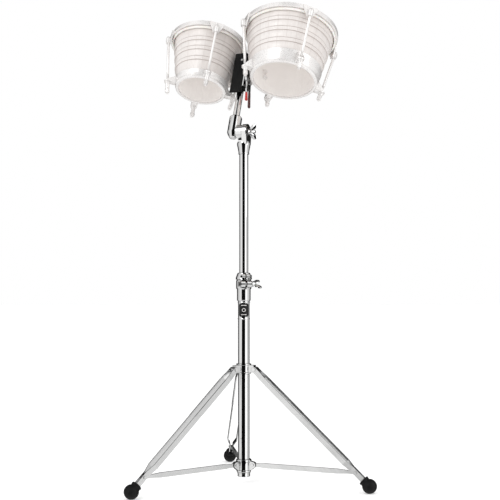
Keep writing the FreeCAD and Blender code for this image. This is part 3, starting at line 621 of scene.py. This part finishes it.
def wing_nut(name, joint, hub, hub_length, span, material, body, node, spin):
    """A bored hub with a washer face and two leaning, rounded wings."""
    matrix = joint_matrix(joint)
    low, high = local_span(node, matrix)
    bm = bmesh.new()
    lathe(bm, [(NUT_BORE, NUT_CLEARANCE), (hub, NUT_CLEARANCE), (hub + 0.25, 0.6),
               (hub + 0.25, 1.8), (hub - 0.4, 2.5), (hub - 0.7, hub_length * 0.6),
               (hub - 1.2, hub_length - 0.9), (hub - 2.0, hub_length), (NUT_BORE, hub_length)],
          circle(48), closed=True)
    for side in (0, 180):
        half_turn = rotation("Z", side)
        skin_over(bm, [[half_turn @ p for p in wing_section(k, hub, hub_length, span, high.z - low.z)]
                       for k in range(WING_STEPS + 1)])
    emit(name, bm, matrix @ rise(low.z) @ rotation("Z", spin), material, body,
         (node,), 35)


# ---- knob -------------------------------------------------------------------
KNOB_GRIP = 9.8             # height of the knurled part
KNOB_KNURL_FROM = 10.0      # radius beyond which the knob is knurled
KNOB_FLUTES, KNOB_FLUTE_DEPTH = 28, 0.9
KNOB_RIM = ((6.4, -1.2), (7.0, -0.2), (9.8, 0), (10.6, 0.8), (10.6, 2.2), (10.0, 2.6),
            (10.0, 3.0), (10.6, 3.4), (10.6, 7.9), (9.7, 9.0), (7.6, 9.2), (7.2, 8.7),
            (5.0, 9.3), (2.4, 9.7))


def build_knob(material):
    """Knurled hand knob with domed face and a turned neck."""
    matrix = joint_matrix("clamp_knob_turn")
    low, high = local_span("clamp_knob", matrix)
    base, top = low.z, high.z
    grip = top - KNOB_GRIP

    def knurl(radius, angle, z):
        if radius < KNOB_KNURL_FROM:
            return radius
        wave = abs(math.sin(KNOB_FLUTES / 2 * angle))
        return radius - KNOB_FLUTE_DEPTH * (1 - wave) ** 2

    neck = [(0, base), (3.4, base), (4.0, base + 0.6), (4.0, grip - 1.4)]
    bm = bmesh.new()
    lathe(bm, neck + offsets((0, grip), KNOB_RIM) + [(0, top)], circle(224), radius_at=knurl)
    emit("bracket_knob", bm, matrix, material, "knob", ("clamp_knob",), 42)


# ---- grips ------------------------------------------------------------------
GRIP_STEPS, GRIP_SIDES = 26, 28
GRIP_HALF_WIDTH, GRIP_HALF_DEPTH = 3.2, 4.6
GRIP_SQUARENESS = 2.6       # 2 would be an ellipse
GRIP_ROUNDS_FROM = 0.88     # of the length, where the end starts to round off
GRIP_TIP = 0.12             # smallest section, at the very end
GRIP_LIP = 0.02, 0.07       # of the length, where the vinyl has run into a lip


def grip_swell(k):
    """Size of a section: thin at the mouth, a lip, thicker downwards and rounded off."""
    t = k / GRIP_STEPS
    size = 0.80 + 0.20 * t
    if t > GRIP_ROUNDS_FROM:
        past = (t - GRIP_ROUNDS_FROM) / (1 - GRIP_ROUNDS_FROM)
        size *= max(math.sqrt(max(0.0, 1 - past ** 2)), GRIP_TIP)
    if GRIP_LIP[0] < t < GRIP_LIP[1]:
        size *= 1.06
    return size * (0.9 if k == 0 else 1.0)


def build_grip(side, material):
    """Dipped sleeve on a lever's arm."""
    node = side + "_grip"
    points = [v.co for v in NODES[node].data.vertices]
    pivot = Vector(JOINTS[side + "_lever_release"]["pos_m"])
    x_axis = Vector(JOINTS["clamp_knob_turn"]["axis"])
    down = sum(points, Vector()) / len(points) - pivot
    matrix = axes_matrix(pivot, x_axis, (down - x_axis * down.dot(x_axis)).normalized())
    low, high = local_span(node, matrix)
    middle = (low.x + high.x) / 2
    power = 2 / GRIP_SQUARENESS
    loops = []
    for k in range(GRIP_STEPS + 1):
        size = grip_swell(k)
        z = low.z + (high.z - low.z) * (k / GRIP_STEPS)
        loop = []
        for a in circle(GRIP_SIDES):
            c, s = math.cos(a), math.sin(a)
            loop.append((middle + GRIP_HALF_WIDTH * size * math.copysign(abs(c) ** power, c),
                         GRIP_HALF_DEPTH * size * math.copysign(abs(s) ** power, s), z))
        loops.append(loop)
    bm = bmesh.new()
    skin_over(bm, loops)
    emit(side + "_dipped_grip", bm, matrix, material, side + "_quick_lever", (node,), 60)


# ---- drums ------------------------------------------------------------------
# Both drums stand on one line in the head's frame. Their own heights start at the foot.
DRUM_BASE_Z = 123.5
DRUM_LINE_Y = -20.0
DRUMS = {
    "macho": {"x": -104.0, "ring": 65.5, "rim": 98.7, "beads": (50.0, 77.0, 102.0),
              "rod_low": 86.0, "rod_top": 104.5, "rod_foot": -34.0, "first_rod": 38.0,
              "staves": 22},
    "hembra": {"x": 125.0, "ring": 84.0, "rim": 119.2, "beads": (55.0, 83.0, 109.0),
               "rod_low": 102.0, "rod_top": 125.7, "rod_foot": -24.0, "first_rod": 45.0,
               "staves": 26},
}


def drum_matrix(drum):
    return HEAD @ Matrix.Translation(Vector((drum["x"], DRUM_LINE_Y, DRUM_BASE_Z)) * MM)


# ---- shells -----------------------------------------------------------------
SHELL_WALL = 8.0
SKIRT_WALL = 2.2            # metal of the bottom ring, round and under the wood
SKIRT_GAP = 0.1
RIM_OVER_SHELL = 9.2        # how much the rim is wider than the shell's top
SHELL_BELLY = 3.2
BEAD_REACH = 6.4            # half of a bead's width
# One bead and its grooves: (height from its middle, how far it stands out).
BEAD = ((-6.0, 0.0), (-5.2, -0.5), (-4.6, -0.1), (-4.2, 0.55), (-3.4, 1.1), (-2.4, 1.2),
        (-0.5, 1.2), (0.0, 1.0), (0.5, 1.2), (2.4, 1.2), (3.4, 1.1), (4.2, 0.55),
        (4.6, -0.1), (5.2, -0.5), (6.0, 0.0))
PLAIN_HEIGHTS = (36.0, 42.0, 63.0, 70.0, 90.0, 96.0, 120.0, 128.0, SHELL_TOP - 2)
INNER_HEIGHTS = (SHELL_TOP - 0.5, 115, 92, 69, 46, 23, SKIRT_WALL + 0.2)
SEAM_WIDTH = math.radians(0.22)
SEAM_DEPTH = 0.3
STAVE_STEPS = 6


def shell_radius(drum, z):
    low, high = drum["ring"] - SKIRT_WALL - SKIRT_GAP, drum["rim"] - RIM_OVER_SHELL
    t = (z - SKIRT_WALL) / (SHELL_TOP - SKIRT_WALL)
    return low + (high - low) * t + SHELL_BELLY * t * (1 - t)


def shell_outline(drum):
    """Heights and how far the wood stands out there: bands between fine turned grooves."""
    points = [(SKIRT_WALL + 0.2, 0.0)]
    for middle in drum["beads"]:
        points += [(middle + dz, out) for dz, out in BEAD]
    points += [(z, 0.0) for z in PLAIN_HEIGHTS
               if all(abs(z - middle) > BEAD_REACH for middle in drum["beads"])]
    return sorted(points)


def stave_angles(count):
    """Angles round a shell, with two close together at every seam."""
    angles = []
    step = TURN / count
    for k in range(count):
        start = TURN * k / count
        angles += [start, start + SEAM_WIDTH]
        angles += [start + SEAM_WIDTH + (step - 2 * SEAM_WIDTH) * j / STAVE_STEPS
                   for j in range(1, STAVE_STEPS + 1)]
    return angles


def build_shell(name, drum, interior):
    """Turned stave shell. Its inner wall has a second material."""
    matrix = drum_matrix(drum)
    material = stave_wood(name + "_staves", matrix, drum["beads"], drum["staves"])
    step = TURN / drum["staves"]

    def seam(radius, angle, z):
        at_seam = abs(angle / step - round(angle / step)) < 1e-4
        return radius - (SEAM_DEPTH if at_seam else 0.0)

    outer = [(shell_radius(drum, z) + out, z) for z, out in shell_outline(drum)]
    outer.append((shell_radius(drum, SHELL_TOP) - 1.5, SHELL_TOP))
    inner = [(shell_radius(drum, z) - SHELL_WALL, z) for z in INNER_HEIGHTS]
    bm = bmesh.new()
    lathe(bm, outer + inner, stave_angles(drum["staves"]), closed=True, radius_at=seam)
    piece = emit(name + "_stave_shell", bm, matrix, material, "drums",
                 (name + "_shell",), 35)
    piece.data.materials.append(interior)
    axis, centre = matrix.col[2].to_3d(), matrix.translation
    for face in piece.data.polygons:
        out = face.center - centre
        out -= axis * out.dot(axis)
        faces_in = face.normal.dot(out) < 0
        upright = abs(face.normal.dot(axis)) < 0.8
        if faces_in and upright:
            face.material_index = 1


# ---- skins ------------------------------------------------------------------
SKIN_CROWN = 0.15
SKIN_LIFT = 1.45            # upper face over the shell's edge, without the crown
SKIN_UNDER = 0.15           # lower face over the shell's edge
SKIN_FROM_SHELL = 0.3
SKIN_TOP_AT = (0, 0.1, 0.25, 0.4, 0.55, 0.7, 0.82, 0.92, 0.975)
SKIN_UNDER_AT = (0.92, 0.7, 0.4, 0)
# (out, up) from the shell's upper edge.
SKIN_EDGE = ((0.2, 1.3), (1.0, 0.6), (1.35, -0.4), (1.4, -2.8), (1.7, -4.1))
FLESH_HOOP = ((3.4, -5.2), (4.1, -6.4), (4.2, -8.1), (3.9, -9.8), (3.0, -11.0), (1.8, -11.4),
              (0.5, -11.3), (-0.1, -10.6), (-0.1, 0.0))
PUCKERS = ((0.22, 47, 0.0), (0.15, 29, 1.0))    # depth, count round the hoop, phase


def build_skin(name, drum, material):
    """Skin with a faint crown, pulled over the edge and tucked round a flesh hoop."""
    r, rim = shell_radius(drum, SHELL_TOP) + SKIN_FROM_SHELL, SHELL_TOP
    top = [(r * t, rim + SKIN_LIFT + SKIN_CROWN * (1 - t * t)) for t in SKIN_TOP_AT]
    under = [(r * t, rim + SKIN_UNDER) for t in SKIN_UNDER_AT]

    def pucker(radius, angle, z):
        if radius > r + 2.5:
            for depth, count, phase in PUCKERS:
                radius += depth * math.sin(count * angle + phase)
        return radius

    bm = bmesh.new()
    lathe(bm, top + offsets((r, rim), SKIN_EDGE + FLESH_HOOP) + under, circle(160),
          radius_at=pucker)
    emit(name + "_skin", bm, drum_matrix(drum), material, "drums", (name + "_head",), 50)


# ---- tension rods and nuts --------------------------------------------------
ROD_RISE = SHELL_TOP - 12.0     # height of a rod's shoulder over the ear's lower face
ROD_RADIUS = 3.2
THREAD_CREST, THREAD_ROOT, THREAD_PITCH = 3.18, 2.72, 1.0
THREAD_TOP = 22.0
NUT_FROM_FOOT = 4           # nut's lower end over the rod's lower end
HEXAGON_HEIGHT = 11.0
HEXAGON_FLAT = 5.0          # from the axis to a flat
HEXAGON_BEVEL, HEXAGON_SPREAD = 0.09, 0.2
# Domed head over a turned collar: (radius, height over the shoulder).
ROD_HEAD = ((5.8, 0), (6.2, 0.4), (6.2, 2.5), (5.6, 3.3), (5.0, 3.5), (4.6, 4.9), (3.4, 5.9),
            (1.6, 6.2), (0, 6.2))
# (radius, height over the nut's foot), then (radius, height from the ear's lower face).
NUT_FOOT = ((3.3, 0), (4.2, 0), (4.8, 0.3), (5.8, 1.1), (5.8, 10.0), (5.1, 10.9), (4.7, 11.4),
            (4.9, 12.0))
NUT_COLLAR = ((4.9, -3.4), (5.3, -2.7), (6.8, -2.3), (7.2, -1.8), (7.2, -0.6), (6.9, -0.15),
              (3.3, -0.15))


def rod_places(drum):
    """The four leaning frames of a drum's rods, with z = 0 at the ears' lower face."""
    lean = math.atan2(drum["rod_top"] - drum["rod_low"], ROD_RISE)
    for k in range(4):
        turn = rotation("Z", drum["first_rod"] + 90 * k)
        yield turn @ Matrix.Translation((drum["rod_low"], 0, 0)) @ Matrix.Rotation(lean, 4, "Y")


def rod_profile(length, foot):
    """Rolled thread at the foot, plain shank, domed head with a turned collar."""
    points = [(0, foot), (2.3, foot), (2.8, foot + 0.6)]
    z = foot + THREAD_PITCH
    while z < THREAD_TOP:
        points += [(THREAD_CREST, z), (THREAD_ROOT, z + THREAD_PITCH / 2)]
        z += THREAD_PITCH
    points += [(ROD_RADIUS, z + 0.6), (ROD_RADIUS, length - 0.6), (ROD_RADIUS, length)]
    return points + offsets((0, length), ROD_HEAD)


def hexagon_angles():
    """Angles that keep a hexagon's corners crisp and its flats flat."""
    sixth = math.pi / 6
    angles = []
    for k in range(6):
        corner = math.pi / 3 * k + sixth
        flat = corner + sixth
        angles += [corner - HEXAGON_BEVEL, corner, corner + HEXAGON_BEVEL,
                   flat - HEXAGON_SPREAD, flat, flat + HEXAGON_SPREAD]
    return sorted(a % TURN for a in angles)


def hexagon_nut(bm, foot, place):
    """Long tube nut: chamfered hexagon at its foot, plain barrel, round collar at the ear."""
    def six(radius, angle, z):
        if z > foot + HEXAGON_HEIGHT:
            return radius
        sector = (angle + math.pi / 6) % (math.pi / 3) - math.pi / 6
        return min(radius, HEXAGON_FLAT / math.cos(sector))

    lathe(bm, offsets((0, foot), NUT_FOOT) + list(NUT_COLLAR), hexagon_angles(), closed=True,
          radius_at=six, place=place)


def build_rods(material):
    """All eight rods as one piece and all eight nuts as another."""
    rods, nuts = bmesh.new(), bmesh.new()
    for drum in DRUMS.values():
        length = math.hypot(drum["rod_top"] - drum["rod_low"], ROD_RISE)
        base = Matrix.Translation((drum["x"], DRUM_LINE_Y, DRUM_BASE_Z))
        for place in rod_places(drum):
            lathe(rods, rod_profile(length, drum["rod_foot"]), circle(24), place=base @ place)
            hexagon_nut(nuts, drum["rod_foot"] + NUT_FROM_FOOT, base @ place)
    emit("threaded_tension_rods", rods, HEAD, material, "drums", ("tension_rods",), 50)
    emit("collared_tuning_nuts", nuts, HEAD, material, "drums", ("tuning_nuts",), 30)


# ---- stage ------------------------------------------------------------------
FLOOR_HALF = 30.0
FLOOR_BELOW = 0.0002        # keeps the floor clear of the soles
# What reflections see round the horizon: degrees from the camera's side, brightness.
# A dark gap lies behind the camera, with white panels beside it, grey walls at the sides
# and dark flags at the back.
WALL_LEVELS = ((-180, 0.02), (-174, 0.02), (-171, 0.25), (-150, 0.12), (-145, 0.03),
               (-122, 0.03), (-112, 0.50), (-95, 0.66), (-70, 0.80), (-50, 0.84), (-41, 1.0),
               (-35, 0.003), (26, 0.003), (31, 1.3), (54, 1.25), (64, 0.76), (84, 0.68),
               (112, 0.50), (122, 0.03), (145, 0.03), (150, 0.12), (171, 0.25), (174, 0.02),
               (180, 0.02))
# From straight down (0) to straight up (1): a light floor and a dark ceiling, and how far
# they stand in for the walls.
POLE_LEVELS = ((0.0, 0.9), (0.90, 0.05), (1.0, 0.05))
POLE_SHARE = ((0.0, 1.0), (0.225, 1.0), (0.26, 0.0), (0.93, 0.0), (0.96, 1.0), (1.0, 1.0))
ROOM_GREY = (0.80, 0.80, 0.80)
WHITE = (1.0, 1.0, 1.0)
# Name, place, what it is aimed at, size and power.
LIGHTS = (("key", (-1.6, -2.2, 2.6), (0, 0, 0.8), 1.4, 28),
          ("fill", (2.2, -1.4, 1.6), (0, 0, 0.6), 1.6, 12))
CAMERA_LENS, SENSOR_WIDTH = 73.0, 36.0
CAMERA_SHIFT = 0.0124, 0.0805
CAMERA_DISTANCE, CAMERA_HEIGHT = 2.5, 0.476


def floor_paint():
    """Pale paint that stays out of reflections, where the studio's walls show instead."""
    s = Shader("studio_floor")
    patch = s.noise(s.coords, 3.0, 4.0)
    colour = s.mix(s.remap(patch, 0.0, 1.0), (0.93, 0.93, 0.93), (0.95, 0.95, 0.95))
    s.set(Base_Color=colour, Roughness=0.9, Specular_IOR_Level=0.1, Emission_Color=WHITE,
          Emission_Strength=0.32)
    blend = s.node("ShaderNodeMixShader")
    s.link(s.node("ShaderNodeLightPath").outputs["Is Glossy Ray"], blend.inputs[0])
    s.link(s.bsdf.outputs[0], blend.inputs[1])
    s.link(s.node("ShaderNodeBsdfTransparent").outputs[0], blend.inputs[2])
    s.link(blend.outputs[0], s.tree.nodes["Material Output"].inputs["Surface"])
    return s.material


def build_floor():
    bm = bmesh.new()
    bmesh.ops.create_grid(bm, x_segments=8, y_segments=8, size=FLOOR_HALF)
    mesh = bpy.data.meshes.new("studio_floor")
    bm.to_mesh(mesh)
    bm.free()
    floor = bpy.data.objects.new("studio_floor", mesh)
    floor.location.z = FLOOR_Z - FLOOR_BELOW
    bpy.context.scene.collection.objects.link(floor)
    mesh.materials.append(floor_paint())


def build_world():
    """White to the camera, even grey as light, and walls, floor and ceiling to reflections."""
    world = bpy.data.worlds.new("studio")
    bpy.context.scene.world = world
    world.use_nodes = True
    g = Graph(world.node_tree)
    x, y, z = g.split(g.node("ShaderNodeTexCoord").outputs["Generated"])
    azimuth = g.math("ARCTAN2", x, g.math("MULTIPLY", y, -1.0))
    turn = g.math("ADD", g.math("DIVIDE", azimuth, TURN), 0.5)
    height = g.math("ADD", g.math("MULTIPLY", z, 0.5), 0.5)
    walls = g.ramp(turn, [((angle + 180) / 360, level) for angle, level in WALL_LEVELS])
    reflected = g.mix(g.ramp(height, POLE_SHARE), walls, g.ramp(height, POLE_LEVELS))
    path = g.node("ShaderNodeLightPath")
    lit = g.mix(path.outputs["Is Glossy Ray"], ROOM_GREY, reflected)
    shown = g.mix(path.outputs["Is Camera Ray"], lit, WHITE)
    g.link(shown, g.tree.nodes["Background"].inputs["Color"])


def build_lights():
    for name, location, target, size, power in LIGHTS:
        data = bpy.data.lights.new(name, "AREA")
        data.shape = "RECTANGLE"
        data.size = data.size_y = size
        data.energy = power
        light = bpy.data.objects.new(name, data)
        light.location = location
        aim = Vector(target) - Vector(location)
        light.rotation_euler = aim.to_track_quat("-Z", "Y").to_euler()
        bpy.context.scene.collection.objects.link(light)


def build_camera():
    data = bpy.data.cameras.new("camera")
    data.lens, data.sensor_width = CAMERA_LENS, SENSOR_WIDTH
    data.shift_x, data.shift_y = CAMERA_SHIFT
    camera = bpy.data.objects.new("camera", data)
    camera.location = (0.0, -CAMERA_DISTANCE, FLOOR_Z + CAMERA_HEIGHT)
    camera.rotation_euler = (math.radians(90), 0, 0)
    bpy.context.scene.collection.objects.link(camera)
    bpy.context.scene.camera = camera


# ---- the whole object -------------------------------------------------------
TUBES = ("lower_tube", "upper_tube", "trim_rings", "mount_rod", "tube_end_cap")
CASTINGS = ("leg_hub", "brace_hub", "height_clamp", "memory_lock", "memory_lock_bolt",
            "clamp_bolt", "tilter_lower", "tilter_upper", "tilter_bolt", "tilter_washer",
            "barrel_key_bolt", "lever_plate", "front_lever", "rear_lever", "bracket_screw",
            "leg_pivot_pins", "brace_pivot_pins", "brace_hub_bolt")
DRUM_METAL = ("macho_rim", "hembra_rim", "macho_bottom_ring", "hembra_bottom_ring",
              "block_bolts")


def main():
    cast = chrome("chrome_cast", CHROME_CAST, 0.06, 0.16, hollow=0.013, edge=0.9)
    boot, steel, skin, interior = rubber(), pale_steel(), hide(), interior_with_painted_glow()
    dress(TUBES, chrome("chrome_tube", CHROME_TUBE, 0.035, 0.006, stretch=(1, 1, 0.3)))
    dress(CASTINGS, cast)
    for name in LEGS:
        strip = chrome("chrome_strip_" + name, CHROME_STRIP, 0.14, 0.06, leg_matrix(name),
                       (0.4, 1, 1), 0.05)
        dress(("leg_%s_rails" % name, "leg_%s_rivets" % name, "brace_" + name), strip)
    dress(("mount_bracket",), black_powder())
    dress(("bracket_pads",), boot)
    dress(("clamp_bushing", "lower_glide"), moulded_black("moulded_nylon"))
    dress(("badge_plate",), moulded_black("badge_lacquer"))
    dress(("centre_block",), block_wood())
    dress(DRUM_METAL, steel)
    build_feet(boot)
    build_badge_marks(steel)
    wing_nut("height_wing_nut", "clamp_wing_turn", 7.3, 9.5, 17.5, cast, "height_wing",
             "clamp_wing_nut", 125)
    wing_nut("tilt_wing_nut", "tilt_wing_turn", 7.0, 9.0, 18.5, cast, "tilt_wing",
             "tilter_wing_nut", 0)
    build_knob(cast)
    build_grip("front", vinyl("red_dip_vinyl", *RED))
    # The rear grip is the front's red vinyl, painted darker as shade.
    build_grip("rear", vinyl("dark_red_vinyl", *RED_IN_PAINTED_SHADE))
    for name, drum in DRUMS.items():
        build_shell(name, drum, interior)
        build_skin(name, drum, skin)
    build_rods(steel)
    build_floor()
    build_world()
    build_lights()
    build_camera()
    bpy.context.scene.view_settings.view_transform = "Standard"


main()
bpy.context.view_layer.update()
